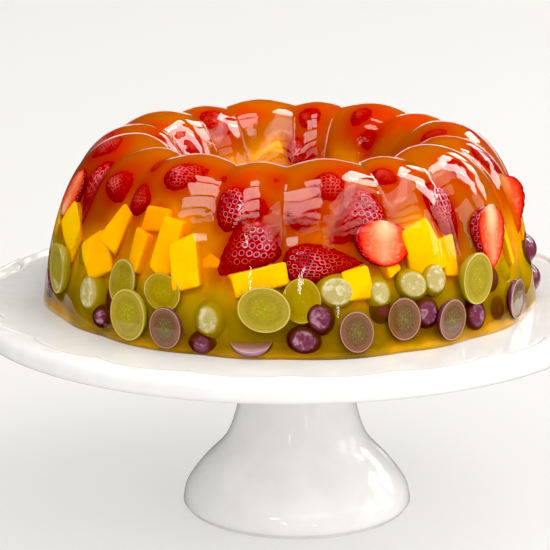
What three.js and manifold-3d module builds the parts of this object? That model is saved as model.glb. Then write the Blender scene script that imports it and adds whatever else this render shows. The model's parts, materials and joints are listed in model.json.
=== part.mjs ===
// A fluted ring of amber jelly with fruit set in it, standing on a white glazed cake stand.
// Millimetres, +Z up. The origin is on the table, under the middle of the plate. -Y is the front.
import * as THREE from 'three';
import { mergeVertices } from 'three/addons/utils/BufferGeometryUtils.js';
import Module from 'manifold-3d';

// Cake stand: a round plate with a raised wavy border, on a flared foot
const PLATE_RADIUS = 161.7;
const PLATE_LEVEL = 112.5;          // the flat field that the jelly stands on
const PLATE_BAND = 9.4;             // depth of the rim below that field
const BORDER_RADIUS = 150.8;        // mean radius of the wavy line
const BORDER_WAVE = 4.2;            // how far the line swings, peak to peak
const BORDER_RISE = 1.5;            // height of the bead outside the line
const SCALLOPS = 20;
const STEPS_PER_SCALLOP = 5;
const FOOT_RADIUS = 58.85;
const FOOT_RING = 50;               // inner edge of the flat ring that the foot stands on
const FOOT_RECESS = 3;
const FOOT_SHIFT = 4.5;             // the foot was joined a little to the right
const FOOT_SIDES = 48;
const BELL_STEPS = 13;

// Jelly: turned out of a ring mould with wide and narrow flutes in turn
const JELLY_X = 1;
const JELLY_Y = 2.5;
const JELLY_GAP = 0.3;              // clearance between touching pieces
const JELLY_RADIUS = 126;
const JELLY_HEIGHT = 84;
const CREST_RADIUS = 78;
const HOLE_RADIUS = 26;
const FLUTE_PAIRS = 8;
const WIDE_FLUTE = 27;              // degrees; a wide and a narrow flute make one pair
const NARROW_FLUTE = 18;
const FIRST_WIDE_FLUTE = 11.5;      // middle of the first wide flute, degrees right of the front
const WIDE_STEPS = 8;
const NARROW_STEPS = 5;
const NARROW_SHARE = 0.62;          // how far a narrow flute swells, beside a wide one
const FLUTE_DEPTH_BASE = 2.2;
const FLUTE_DEPTH_WALL = 3.6;
const FLUTE_FULL_HEIGHT = 50;       // height at which the outer flutes are full
const FLUTE_SHARPNESS = 0.7;        // 1 meets in a sharp crease, 0 in a soft wave
const OUTER_STEPS = 10;
const INNER_STEPS = 7;

// Fruit that breaks the surface of the jelly: name, kind, round, up, deep, face, tilt, spin.
// round: degrees right of the front; up: height above the plate; deep: from the wall in to the
// middle of the cut face, or of a whole grape; face and tilt: the way the cut face looks, as
// degrees right of the front and degrees upwards; spin: turn of the piece in its own face
const FRUIT = [
  ['strawberry_half_right', 'strawberryHalf', 77, 54, 7, 8, 8, 14],
  ['strawberry_half_flush', 'strawberryHalf', 54, 46, -1.4, 54, 10, -8],
  ['strawberry_half_back', 'strawberryHalf', 158, 50, -1.4, 158, 8, 20],
  ['strawberry_half_left_back', 'strawberryHalf', -122, 48, -1.4, -122, 8, -15],
  ['red_grape_right_upper', 'redGrape', 81, 27, 6, 81, 0, 75],
  ['red_grape_right_lower', 'redGrape', 86, 9, 6.5, 86, 0, 90],
  ['red_grape_back', 'redGrape', 176, 11, 7, 176, 0, 85],
  ['red_grape_half_edge', 'redGrapeHalf', 61, 11.5, -1.2, 61, 0, 0],
  ['red_grape_half_right', 'redGrapeHalf', 37, 12, -1.2, 40, 0, 0],
  ['red_grape_half_front', 'redGrapeHalf', -9, 8, 5.5, -9, 62, 90],
  ['red_grape_half_left', 'redGrapeHalf', -28, 11, -1.2, -28, 0, 0],
  ['red_grape_half_back', 'redGrapeHalf', -150, 12, -1.2, -150, 0, 30],
  ['green_grape_half_front', 'greenGrapeHalf', -6, 23, -1.2, -6, 3, 80],
  ['green_grape_half_left', 'greenGrapeHalf', -38, 14, -1.2, -38, 2, 0],
  ['green_grape_half_far_left', 'greenGrapeHalf', -68, 23, -1.2, -68, 3, 0],
  ['green_grape_half_right', 'greenGrapeHalf', 46, 28, -1.2, 46, 3, 0],
  ['green_grape_half_back', 'greenGrapeHalf', 128, 22, -1.2, 128, 3, 20],
].map(([name, kind, round, up, deep, face, tilt, spin]) => (
  { name, kind, round, up, deep, face, tilt, spin }
));
const GREEN_GRAPE = { length: 25, width: 21.5 };
const RED_GRAPE = { length: 20, width: 17 };
const GRAPE_HALF_SHARE = 0.42;      // depth of a half, as a share of the width
const FRUIT_SIDES = 12;
const GRAPE_ARC_STEPS = 4;
const STRAWBERRY_LENGTH = 31;
const STRAWBERRY_WIDTH = 24;

const COLOURS = {
  glaze: { color: 0xf1efec, roughness: 0.25, metalness: 0 },
  amber: { color: 0xd98018, roughness: 0.08, metalness: 0 },
  strawberry: { color: 0xc8161f, roughness: 0.35, metalness: 0 },
  redGrape: { color: 0x5c1f38, roughness: 0.25, metalness: 0 },
  greenGrape: { color: 0xaab43c, roughness: 0.3, metalness: 0 },
};

const radians = THREE.MathUtils.degToRad;
const wasm = await Module();
wasm.setup();

// ---------- solids ----------

function toSolid(geometry) {
  const bare = geometry.clone();
  bare.deleteAttribute('normal');
  bare.deleteAttribute('uv');
  const merged = mergeVertices(bare, 1e-4);
  return new wasm.Manifold(new wasm.Mesh({
    numProp: 3,
    vertProperties: new Float32Array(merged.attributes.position.array),
    triVerts: new Uint32Array(merged.index.array),
  }));
}

function toGeometry(solid) {
  const mesh = solid.getMesh();
  const geometry = new THREE.BufferGeometry();
  geometry.setAttribute('position', new THREE.BufferAttribute(new Float32Array(mesh.vertProperties), 3));
  geometry.setIndex(new THREE.BufferAttribute(new Uint32Array(mesh.triVerts), 1));
  geometry.computeVertexNormals();
  return geometry;
}

// A closed skin over rings of points: each ring has the same count, and both directions wrap
// round, so that the last ring joins the first
function skinOverRings(rings) {
  const count = rings[0].length;
  const positions = rings.flat().flatMap((p) => [p.x, p.y, p.z]);
  const faces = [];
  for (let i = 0; i < rings.length; i += 1) {
    const next = (i + 1) % rings.length;
    for (let j = 0; j < count; j += 1) {
      const side = (j + 1) % count;
      const a = i * count + j;
      const b = i * count + side;
      const c = next * count + side;
      const d = next * count + j;
      faces.push(a, b, c, a, c, d);
    }
  }
  const geometry = new THREE.BufferGeometry();
  geometry.setAttribute('position', new THREE.Float32BufferAttribute(positions, 3));
  geometry.setIndex(faces);
  return geometry;
}

// As skinOverRings, but the first and the last ring each close on a point of the axis
function skinBetweenPoles(rings, startZ, endZ) {
  const count = rings[0].length;
  const positions = rings.flat().flatMap((p) => [p.x, p.y, p.z]);
  const faces = [];
  for (let i = 0; i + 1 < rings.length; i += 1) {
    for (let j = 0; j < count; j += 1) {
      const side = (j + 1) % count;
      const a = i * count + j;
      const b = i * count + side;
      const c = (i + 1) * count + side;
      const d = (i + 1) * count + j;
      faces.push(a, b, c, a, c, d);
    }
  }
  const start = positions.length / 3;
  positions.push(0, 0, startZ, 0, 0, endZ);
  const last = (rings.length - 1) * count;
  for (let j = 0; j < count; j += 1) {
    const side = (j + 1) % count;
    faces.push(start, side, j);
    faces.push(start + 1, last + j, last + side);
  }
  const geometry = new THREE.BufferGeometry();
  geometry.setAttribute('position', new THREE.Float32BufferAttribute(positions, 3));
  geometry.setIndex(faces);
  return geometry;
}

// A point at a radius and a bearing, measured in degrees to the right of the front
function atBearing(radius, bearing, z) {
  const angle = radians(bearing);
  return new THREE.Vector3(radius * Math.sin(angle), -radius * Math.cos(angle), z);
}

// ---------- cake stand ----------

// Radius of the wavy line: each scallop is a shallow arc, and the arcs meet pointing inwards
function borderLine(bearing) {
  const period = 360 / SCALLOPS;
  const across = ((bearing % period) + period) % period / period;
  const arc = Math.sin(Math.PI * across) ** 0.8;
  return BORDER_RADIUS + BORDER_WAVE * (arc - 0.6);
}

// Rows of the plate from the underside's middle, out round the rim and in over the top.
// Each gives a radius and a height above the field for one bearing
function plateRows(bearing) {
  const line = borderLine(bearing);
  const under = -PLATE_BAND;
  return [
    [60, under + 2],
    [PLATE_RADIUS - 10, under + 2],
    [PLATE_RADIUS - 5, under],
    [PLATE_RADIUS - 1.4, under],
    [PLATE_RADIUS - 0.3, under + 1],
    [PLATE_RADIUS, under + 2.6],
    [PLATE_RADIUS - 0.3, -2.6],
    [PLATE_RADIUS - 1.6, -0.8],
    [PLATE_RADIUS - 3.6, 0.4],
    [PLATE_RADIUS - 5.2, 0.9],
    [line + 2.6, BORDER_RISE],
    [line + 0.9, BORDER_RISE - 0.3],
    [line, -0.4],
    [line - 1.2, 0],
  ];
}

function plateGeometry() {
  const steps = SCALLOPS * STEPS_PER_SCALLOP;
  const bearings = Array.from({ length: steps }, (_, j) => (360 * j) / steps);
  const rowCount = plateRows(0).length;
  const rings = Array.from({ length: rowCount }, (_, i) => bearings.map((bearing) => {
    const [radius, height] = plateRows(bearing)[i];
    return atBearing(radius, bearing, PLATE_LEVEL + height);
  }));
  return skinBetweenPoles(rings, PLATE_LEVEL - PLATE_BAND + 2, PLATE_LEVEL);
}

// Half outline of the foot: a flat ring to stand on, a bell, a narrow neck and a flare that
// runs into the plate
function footGeometry() {
  const bell = new THREE.SplineCurve([
    new THREE.Vector2(FOOT_RADIUS, 2.4),
    new THREE.Vector2(FOOT_RADIUS - 2, 10.5),
    new THREE.Vector2(48.5, 22),
    new THREE.Vector2(37.5, 34),
    new THREE.Vector2(31.8, 48),
    new THREE.Vector2(28.8, 66),
    new THREE.Vector2(29.6, 84),
    new THREE.Vector2(40, 99),
    new THREE.Vector2(56, PLATE_LEVEL - PLATE_BAND + 2.6),
  ]);
  const outline = [
    new THREE.Vector2(0, FOOT_RECESS),
    new THREE.Vector2(FOOT_RING - 2, FOOT_RECESS),
    new THREE.Vector2(FOOT_RING, 0),
    new THREE.Vector2(FOOT_RADIUS - 1.5, 0),
    new THREE.Vector2(FOOT_RADIUS - 1.5, 1.2),
    ...bell.getPoints(BELL_STEPS),
    new THREE.Vector2(0, PLATE_LEVEL - PLATE_BAND + 4),
  ];
  const geometry = new THREE.LatheGeometry(outline, FOOT_SIDES);
  geometry.rotateX(Math.PI / 2);
  geometry.translate(FOOT_SHIFT, 0, 0);
  return geometry;
}

// ---------- jelly ----------

const outerWall = new THREE.CubicBezierCurve(
  new THREE.Vector2(JELLY_RADIUS, 0),
  new THREE.Vector2(JELLY_RADIUS - 4.4, 0.47 * JELLY_HEIGHT),
  new THREE.Vector2(CREST_RADIUS + 0.7 * (JELLY_RADIUS - CREST_RADIUS), JELLY_HEIGHT),
  new THREE.Vector2(CREST_RADIUS, JELLY_HEIGHT),
);
const innerWall = new THREE.CubicBezierCurve(
  new THREE.Vector2(CREST_RADIUS, JELLY_HEIGHT),
  new THREE.Vector2(CREST_RADIUS - 0.62 * (CREST_RADIUS - HOLE_RADIUS), JELLY_HEIGHT),
  new THREE.Vector2(HOLE_RADIUS + 16, 0.2 * JELLY_HEIGHT),
  new THREE.Vector2(HOLE_RADIUS, 0),
);

// How far a flute swells at a bearing, from 0 in a crease to 1 on a wide flute
function fluteSwell(bearing) {
  const pair = 360 / FLUTE_PAIRS;
  const fromWide = THREE.MathUtils.euclideanModulo(bearing - FIRST_WIDE_FLUTE + WIDE_FLUTE / 2, pair);
  const wide = fromWide < WIDE_FLUTE;
  const across = wide ? (2 * fromWide) / WIDE_FLUTE - 1 : (2 * (fromWide - WIDE_FLUTE)) / NARROW_FLUTE - 1;
  const sharp = 1 - across * across;
  const soft = 0.5 + 0.5 * Math.cos(Math.PI * across);
  const swell = FLUTE_SHARPNESS * sharp + (1 - FLUTE_SHARPNESS) * soft;
  return swell * (wide ? 1 : NARROW_SHARE);
}

// Bearings of the points round the ring: each flute is cut into steps, with a point in each
// crease and on each ridge
function fluteBearings() {
  const bearings = [];
  for (let pair = 0; pair < FLUTE_PAIRS; pair += 1) {
    const start = FIRST_WIDE_FLUTE - WIDE_FLUTE / 2 + (360 / FLUTE_PAIRS) * pair;
    for (let i = 0; i < WIDE_STEPS; i += 1) bearings.push(start + (WIDE_FLUTE * i) / WIDE_STEPS);
    for (let i = 0; i < NARROW_STEPS; i += 1) {
      bearings.push(start + WIDE_FLUTE + (NARROW_FLUTE * i) / NARROW_STEPS);
    }
  }
  return bearings;
}

// Depth of the creases at a place on the outer or the inner wall
function fluteDepth(curve, height) {
  if (curve === innerWall) return (FLUTE_DEPTH_WALL * height) / JELLY_HEIGHT;
  const full = Math.min(1, height / FLUTE_FULL_HEIGHT);
  return FLUTE_DEPTH_BASE + (FLUTE_DEPTH_WALL - FLUTE_DEPTH_BASE) * full;
}

// A point of the fluted wall. The creases are pressed in square to the plain wall
function wallPoint(curve, t, bearing) {
  const plain = curve.getPoint(t);
  const along = curve.getTangent(t);
  const press = fluteDepth(curve, plain.y) * (1 - fluteSwell(bearing));
  const radius = plain.x - along.y * press;
  const height = plain.y + along.x * press * Math.min(1, plain.y / 15);
  return atBearing(radius, bearing, height);
}

function jellyGeometry() {
  const bearings = fluteBearings();
  const rings = [];
  for (let i = 0; i < OUTER_STEPS; i += 1) {
    rings.push(bearings.map((bearing) => wallPoint(outerWall, i / OUTER_STEPS, bearing)));
  }
  for (let i = 0; i <= INNER_STEPS; i += 1) {
    rings.push(bearings.map((bearing) => wallPoint(innerWall, i / INNER_STEPS, bearing)));
  }
  const geometry = skinOverRings(rings);
  geometry.translate(JELLY_X, JELLY_Y, PLATE_LEVEL + JELLY_GAP);
  return geometry;
}

// ---------- fruit ----------

// Half a grape: the cut face looks along +Z, and the long axis is Y
function grapeHalf({ length, width }) {
  const depth = width * GRAPE_HALF_SHARE;
  const outline = [new THREE.Vector2(0, -depth)];
  for (let i = 1; i <= GRAPE_ARC_STEPS; i += 1) {
    const angle = (Math.PI / 2) * (1 - i / GRAPE_ARC_STEPS);
    outline.push(new THREE.Vector2(Math.cos(angle) * width / 2, -Math.sin(angle) * depth));
  }
  outline.push(new THREE.Vector2(0, 0));
  const geometry = new THREE.LatheGeometry(outline, FRUIT_SIDES);
  geometry.rotateX(Math.PI / 2);
  geometry.scale(1, length / width, 1);
  return toSolid(geometry);
}

// A whole grape, with its long axis along Y
function wholeGrape({ length, width }) {
  const geometry = new THREE.SphereGeometry(width / 2, FRUIT_SIDES, 8);
  geometry.scale(1, length / width, 1);
  return toSolid(geometry);
}

// Half a strawberry: the cut face looks along +Z, and the tip points along -Y
function strawberryHalf() {
  const half = STRAWBERRY_WIDTH / 2;
  const shape = new THREE.SplineCurve([
    new THREE.Vector2(0, -0.55 * STRAWBERRY_LENGTH),
    new THREE.Vector2(0.36 * half, -0.47 * STRAWBERRY_LENGTH),
    new THREE.Vector2(0.72 * half, -0.2 * STRAWBERRY_LENGTH),
    new THREE.Vector2(half, 0.12 * STRAWBERRY_LENGTH),
    new THREE.Vector2(0.86 * half, 0.34 * STRAWBERRY_LENGTH),
    new THREE.Vector2(0, 0.42 * STRAWBERRY_LENGTH),
  ]);
  const outline = shape.getPoints(9);
  outline[0].x = 0;
  outline[outline.length - 1].x = 0;
  const whole = toSolid(new THREE.LatheGeometry(outline, FRUIT_SIDES));
  const below = new THREE.BoxGeometry(STRAWBERRY_LENGTH * 2, STRAWBERRY_LENGTH * 2, STRAWBERRY_LENGTH);
  below.translate(0, 0, -STRAWBERRY_LENGTH / 2);
  return whole.intersect(toSolid(below));
}

const KINDS = {
  strawberryHalf: { solid: strawberryHalf(), middle: [0, 0, -5.2], colour: COLOURS.strawberry },
  redGrape: { solid: wholeGrape(RED_GRAPE), middle: [0, 0, 0], colour: COLOURS.redGrape },
  redGrapeHalf: { solid: grapeHalf(RED_GRAPE), middle: [0, 0, -2.8], colour: COLOURS.redGrape },
  greenGrapeHalf: { solid: grapeHalf(GREEN_GRAPE), middle: [0, 0, -3.5], colour: COLOURS.greenGrape },
};

// Where a piece of fruit sits: its middle on or under the outer wall, its face turned as stated
function fruitMatrix(fruit) {
  let t = 0;
  while (outerWall.getPoint(t).y < fruit.up) t += 0.005;
  const plain = outerWall.getPoint(t);
  const along = outerWall.getTangent(t);
  const outward = atBearing(along.y, fruit.round, -along.x);
  const place = atBearing(plain.x, fruit.round, plain.y).addScaledVector(outward, -fruit.deep);
  place.add(new THREE.Vector3(JELLY_X, JELLY_Y, PLATE_LEVEL + JELLY_GAP));
  const look = atBearing(Math.cos(radians(fruit.tilt)), fruit.face, Math.sin(radians(fruit.tilt)));
  const across = new THREE.Vector3(0, 0, 1).cross(look).normalize();
  const upright = look.clone().cross(across);
  const matrix = new THREE.Matrix4().makeBasis(across, upright, look);
  matrix.multiply(new THREE.Matrix4().makeRotationZ(radians(fruit.spin)));
  return matrix.setPosition(place);
}

// The pocket that a piece leaves in the jelly: the piece a little larger all round, drawn
// outwards so that no film of jelly stays in front of it
function pocketFor(fruit) {
  const kind = KINDS[fruit.kind];
  const middle = new THREE.Vector3(...kind.middle);
  const grow = 1 + (JELLY_GAP * 1.2) / Math.abs(kind.middle[2] || RED_GRAPE.width / 2);
  const larger = new THREE.Matrix4().makeTranslation(middle.x, middle.y, middle.z)
    .multiply(new THREE.Matrix4().makeScale(grow, grow, grow))
    .multiply(new THREE.Matrix4().makeTranslation(-middle.x, -middle.y, -middle.z));
  const place = fruitMatrix(fruit);
  const pocket = kind.solid.transform(place.clone().multiply(larger).elements);
  const out = atBearing(4, fruit.round, 0);
  return pocket.add(pocket.translate([out.x, out.y, 0]));
}

// ---------- assembly ----------

const group = new THREE.Group();

function addMesh(name, geometry, colour) {
  const mesh = new THREE.Mesh(geometry, new THREE.MeshStandardMaterial(colour));
  mesh.name = name;
  group.add(mesh);
}

const stand = toSolid(plateGeometry()).add(toSolid(footGeometry()));
addMesh('stand', toGeometry(stand), COLOURS.glaze);

let jelly = toSolid(jellyGeometry());
for (const fruit of FRUIT) jelly = jelly.subtract(pocketFor(fruit));
addMesh('jelly', toGeometry(jelly), COLOURS.amber);

for (const fruit of FRUIT) {
  const kind = KINDS[fruit.kind];
  addMesh(fruit.name, toGeometry(kind.solid.transform(fruitMatrix(fruit).elements)), kind.colour);
}

export default group;
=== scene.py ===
import json
import math
import random

import bpy
import numpy as np
from mathutils import Matrix, Vector
from mathutils.bvhtree import BVHTree
from mathutils.kdtree import KDTree

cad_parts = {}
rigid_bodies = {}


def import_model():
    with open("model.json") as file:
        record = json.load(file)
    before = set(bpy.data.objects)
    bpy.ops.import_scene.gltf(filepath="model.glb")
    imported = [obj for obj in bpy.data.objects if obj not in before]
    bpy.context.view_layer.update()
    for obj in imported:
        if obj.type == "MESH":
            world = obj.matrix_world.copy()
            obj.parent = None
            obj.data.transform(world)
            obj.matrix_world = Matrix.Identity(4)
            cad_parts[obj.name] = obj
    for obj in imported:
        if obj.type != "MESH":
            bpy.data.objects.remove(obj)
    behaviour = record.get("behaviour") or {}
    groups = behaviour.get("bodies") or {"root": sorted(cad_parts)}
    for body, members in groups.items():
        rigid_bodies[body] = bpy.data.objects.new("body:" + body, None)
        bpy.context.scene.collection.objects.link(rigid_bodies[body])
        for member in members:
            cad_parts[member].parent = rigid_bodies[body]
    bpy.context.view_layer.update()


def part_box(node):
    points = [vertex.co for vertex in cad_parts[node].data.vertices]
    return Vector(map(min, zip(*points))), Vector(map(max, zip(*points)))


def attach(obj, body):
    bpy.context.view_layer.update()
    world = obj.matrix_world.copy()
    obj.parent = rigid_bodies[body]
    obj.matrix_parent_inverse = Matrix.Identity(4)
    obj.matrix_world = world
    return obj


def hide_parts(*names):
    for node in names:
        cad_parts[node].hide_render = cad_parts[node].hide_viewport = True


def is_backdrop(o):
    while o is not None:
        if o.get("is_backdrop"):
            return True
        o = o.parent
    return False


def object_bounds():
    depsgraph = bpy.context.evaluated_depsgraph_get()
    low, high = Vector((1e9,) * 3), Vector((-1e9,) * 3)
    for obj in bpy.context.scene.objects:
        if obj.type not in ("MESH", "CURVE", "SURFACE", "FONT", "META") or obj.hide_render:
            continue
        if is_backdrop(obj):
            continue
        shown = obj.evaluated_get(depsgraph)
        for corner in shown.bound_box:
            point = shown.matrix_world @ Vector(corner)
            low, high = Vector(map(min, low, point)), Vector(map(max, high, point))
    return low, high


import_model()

# ---- Cake stand --------------------------------------------------------------------------
# One piece of cast stoneware under a thick white glaze: a round plate with a raised wavy
# border inside its rim, and a bell-shaped foot luted on a little to the right of the middle.
stand_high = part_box("stand")[1]
PLATE_RADIUS = stand_high.x
BORDER_RISE = 0.0015
PLATE_LEVEL = stand_high.z - BORDER_RISE
PLATE_BAND = 0.0094
BORDER_RADIUS = 0.1508
BORDER_WAVE = 0.0042
SCALLOPS = 20
STAND_STEPS = 12 * SCALLOPS
FOOT_RADIUS = 0.05885
FOOT_SHIFT = 0.0045
MM = 0.001
DECIMALS = 7


def in_metres(rows, *columns):
    """The rows of a table, with the columns named by number turned from millimetres to metres."""
    return [tuple(round(v * MM, DECIMALS) if i in columns else v for i, v in enumerate(row)) for row in rows]


def at_bearing(radius, bearing, height, middle=(0.0, 0.0)):
    """A point by its bearing: degrees to the right of the front, which is -Y."""
    angle = math.radians(bearing)
    return (middle[0] + radius * math.sin(angle), middle[1] - radius * math.cos(angle), height)


def mesh_object(name, points, faces):
    """A smooth mesh whose place is in its points, linked at the origin."""
    mesh = bpy.data.meshes.new(name)
    mesh.from_pydata([tuple(p) for p in points], [], [tuple(f) for f in faces])
    mesh.polygons.foreach_set("use_smooth", [True] * len(mesh.polygons))
    mesh.update()
    made = bpy.data.objects.new(name, mesh)
    bpy.context.scene.collection.objects.link(made)
    return made


def ring_faces(rows, count, poles=(), closed_ring=False, split=False, flip=False):
    """Faces over rings of equal count: poles are two points that close the ends, a closed ring
    joins last to first, split leaves each ring open, and flip turns the faces over."""
    faces = []
    for i in range(rows if closed_ring else rows - 1):
        low, high = i * count, (i + 1) % rows * count
        for j in range(count - 1 if split else count):
            side = (j + 1) % count
            faces.append((low + j, low + side, high + side, high + j))
    for row, pole in zip((0, rows - 1), poles):
        for j in range(count):
            a, b = row * count + j, row * count + (j + 1) % count
            faces.append((pole, a, b) if row else (pole, b, a))
    return [(face[0], *face[:0:-1]) for face in faces] if flip else faces


class Nodes:
    """A node tree, with short calls for the nodes it is built from."""

    def __init__(self, tree):
        self.tree = tree

    def node(self, kind, inputs=None, **settings):
        """A node with its settings, and its inputs linked to a socket or given a value."""
        made = self.tree.nodes.new(kind)
        for key, value in settings.items():
            setattr(made, key, value)
        for key, value in (inputs or {}).items():
            if isinstance(value, bpy.types.NodeSocket):
                self.tree.links.new(value, made.inputs[key])
            else:
                made.inputs[key].default_value = value
        return made

    def math(self, operation, a, b=0.0):
        return self.node("ShaderNodeMath", {0: a, 1: b}, operation=operation).outputs[0]

    def times(self, a, b):
        return self.math("MULTIPLY", a, b)

    def span(self, value, low, high, to_low=0.0, to_high=1.0, **settings):
        """The stretch of a value from low to high, drawn out from to_low to to_high."""
        inputs = {"Value": value, "From Min": low, "From Max": high, "To Min": to_low, "To Max": to_high}
        return self.node("ShaderNodeMapRange", inputs, **settings).outputs["Result"]


class Finish(Nodes):
    """A procedural material on object coordinates."""

    def __init__(self, name):
        self.material = bpy.data.materials.new(name)
        self.material.use_nodes = True
        super().__init__(self.material.node_tree)
        self.tree.nodes.clear()
        self.output = self.node("ShaderNodeOutputMaterial")
        self.coordinates = self.node("ShaderNodeTexCoord").outputs["Object"]

    def noise(self, scale, detail=3.0, roughness=0.5, where=None, distortion=0.0):
        inputs = {"Vector": where or self.coordinates, "Scale": scale, "Detail": detail,
                  "Roughness": roughness, "Distortion": distortion}
        return self.node("ShaderNodeTexNoise", inputs).outputs["Fac"]

    def uneven(self, share, *noise, **more):
        """Noise about nought, times a share."""
        return self.times(self.math("SUBTRACT", self.noise(*noise, **more), 0.5), share)

    def attribute(self, name, output="Fac"):
        return self.node("ShaderNodeAttribute", attribute_name=name).outputs[output]

    def vector(self, operation, a, b=(0, 0, 0)):
        return self.node("ShaderNodeVectorMath", {0: a, 1: b}, operation=operation).outputs[0]

    def ramp(self, fac, stops):
        """Colours by value; each stop is a place from 0 to 1, then red, green and blue."""
        made = self.node("ShaderNodeValToRGB", {"Fac": fac})
        while len(made.color_ramp.elements) < len(stops):
            made.color_ramp.elements.new(0.5)
        for element, (place, *colour) in zip(made.color_ramp.elements, stops):
            element.position = place
            element.color = (*colour, 1.0)
        return made.outputs["Color"]

    def mix(self, fac, a, b, blend="MIX"):
        a, b = (c if isinstance(c, bpy.types.NodeSocket) else (*c, 1.0) for c in (a, b))
        made = self.node("ShaderNodeMix", {0: fac, 6: a, 7: b}, data_type="RGBA", blend_type=blend)
        return made.outputs[2]

    def layers(self, colour, *coats):
        """Colours laid one over another, each after its own share."""
        for share, coat in coats:
            colour = self.mix(share, colour, coat)
        return colour

    def bump(self, height, distance, strength=1.0):
        inputs = {"Height": height, "Distance": distance, "Strength": strength}
        return self.node("ShaderNodeBump", inputs).outputs["Normal"]

    def surface(self, **sockets):
        """The Principled shader; a socket's name has _ for its spaces."""
        inputs = {key.replace("_", " "): value for key, value in sockets.items()}
        made = self.node("ShaderNodeBsdfPrincipled", inputs)
        self.tree.links.new(made.outputs[0], self.output.inputs["Surface"])
        return made


def smooth_outline(points, steps):
    """A Catmull-Rom curve through a few points, as a list of pairs."""
    p = np.array(points, float)
    p = np.vstack([2 * p[0] - p[1], p, 2 * p[-1] - p[-2]])
    out = []
    for i in range(1, len(p) - 2):
        for t in np.linspace(0, 1, steps, endpoint=False):
            a, b, c, d = p[i - 1:i + 3]
            out.append(0.5 * (2 * b + (c - a) * t + (2 * a - 5 * b + 4 * c - d) * t ** 2
                              + (3 * b - a - 3 * c + d) * t ** 3))
    return [tuple(q) for q in out] + [tuple(p[-2])]


def border_line(bearing):
    """Radius of the wavy line: shallow arcs that meet pointing inwards."""
    period = 360 / SCALLOPS
    arc = math.sin(math.pi * (bearing % period) / period) ** 0.8
    return BORDER_RADIUS + BORDER_WAVE * (arc - 0.6)


def foot_outline():
    """Radius and height, from the middle of the underside up to the flare under the plate."""
    ring = in_metres([(20, 3), (47, 3), (49.5, 1), (50.5, 0), (54, 0), (57, 0), (57.35, 0.4), (57.35, 1.2),
                      (58.2, 1.6)], 0, 1)
    bell = in_metres([(48.5, 22), (37.5, 34), (31.8, 48), (28.8, 66), (29.6, 84), (40, 99)], 0, 1)
    return ring + smooth_outline([(FOOT_RADIUS, 0.0024), (FOOT_RADIUS - 0.002, 0.0105)] + bell, 4)


# outwards and up: the rim from its edge and the underside, the rim's top from its edge and the
# field, and the border from the wavy line and the field
RIM_BELOW = in_metres([(-10, 2), (-7, 1.2), (-5, 0), (-2.5, 0), (-1, 0.3), (-0.2, 1.2), (0, 2.6)], 0, 1)
RIM_ABOVE = in_metres([(0, -4), (-0.3, -2.6), (-0.9, -1.5), (-1.8, -0.5), (-3.6, 0.4), (-5.2, 0.9)], 0, 1)
BORDER = in_metres([(4, 1.35), (2.6, 1.49), (1.6, 1.4), (0.9, 1), (0.4, 0.3), (0, -0.4), (-0.6, -0.4),
                    (-1.3, 0), (-3.5, 0)], 0, 1)


def plate_outline(bearing):
    """Radius and height above the field, from the underside round the rim to the field."""
    line = border_line(bearing)
    under = -PLATE_BAND
    return ([(0.06, under + 0.0018), (0.1, under + 0.002)]
            + [(PLATE_RADIUS + r, under + z) for r, z in RIM_BELOW]
            + [(PLATE_RADIUS + r, z) for r, z in RIM_ABOVE]
            + [(line + r, z) for r, z in BORDER] + [(0.1, 0.0), (0.04, 0.0)])


def skin(name, rings, closed_ring=False):
    """A mesh over rings of equal count. Open ends get a pole; a closed ring has none."""
    points = [p for ring in rings for p in ring]
    poles = () if closed_ring else (len(points), len(points) + 1)
    faces = ring_faces(len(rings), len(rings[0]), poles, closed_ring)
    if poles:
        points += [tuple(np.mean(ring, axis=0)) for ring in (rings[0], rings[-1])]
    return mesh_object(name, points, faces)


stand_bearings = [360 * j / STAND_STEPS for j in range(STAND_STEPS)]
foot_rings = [[at_bearing(r, b, z, (FOOT_SHIFT, 0)) for b in stand_bearings] for r, z in foot_outline()]
plate_columns = [[at_bearing(r, b, PLATE_LEVEL + z) for r, z in plate_outline(b)] for b in stand_bearings]
cake_stand = skin("cake_stand", foot_rings + list(zip(*plate_columns)))

glaze = Finish("white glaze")
pooled = [(0.35, 0.85, 0.845, 0.83), (0.65, 0.9, 0.897, 0.885)]
glaze.surface(
    Base_Color=glaze.ramp(glaze.noise(55.0, 4.0), pooled),
    Roughness=glaze.span(glaze.noise(240.0, 2.0), 0.3, 0.7, 0.1, 0.2),
    Specular_IOR_Level=0.3, Coat_Weight=0.25, Coat_Roughness=0.05,
    Normal=glaze.bump(glaze.noise(130.0, 2.0), 0.0002, 0.5))
cake_stand.data.materials.append(glaze.material)
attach(cake_stand, "root")
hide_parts("stand")

# ---- Jelly -------------------------------------------------------------------------------
# Amber gelatine turned out of a ring mould with eight wide and eight narrow flutes, so the
# skin is wet and glassy, with the faint ripples of the tin.
jelly_low, jelly_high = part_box("jelly")
JELLY_MIDDLE = ((jelly_low.x + jelly_high.x) / 2, (jelly_low.y + jelly_high.y) / 2)
JELLY_BASE = jelly_low.z
JELLY_HEIGHT = jelly_high.z - jelly_low.z
SIDE_CREASE = 0.00114
JELLY_RADIUS = (jelly_high.x - jelly_low.x) / 2 + SIDE_CREASE
CREST_RADIUS = 0.078
HOLE_RADIUS = 0.026
FLUTE_PAIRS = 8
WIDE_FLUTE = 27.0
NARROW_FLUTE = 18.0
FIRST_WIDE_FLUTE = 11.5
NARROW_SHARE = 0.62
FLUTE_DEPTH_BASE = 0.0022
FLUTE_DEPTH_WALL = 0.0036
FLUTE_FULL_HEIGHT = 0.05
FLUTE_SHARPNESS = 0.7
SETTLED = 0.00025
TOUCHING = 0.00001
UPRIGHT_FOOT = 0.015
CLEAR = (1.0, 0.97, 0.9, 1.0)
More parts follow.
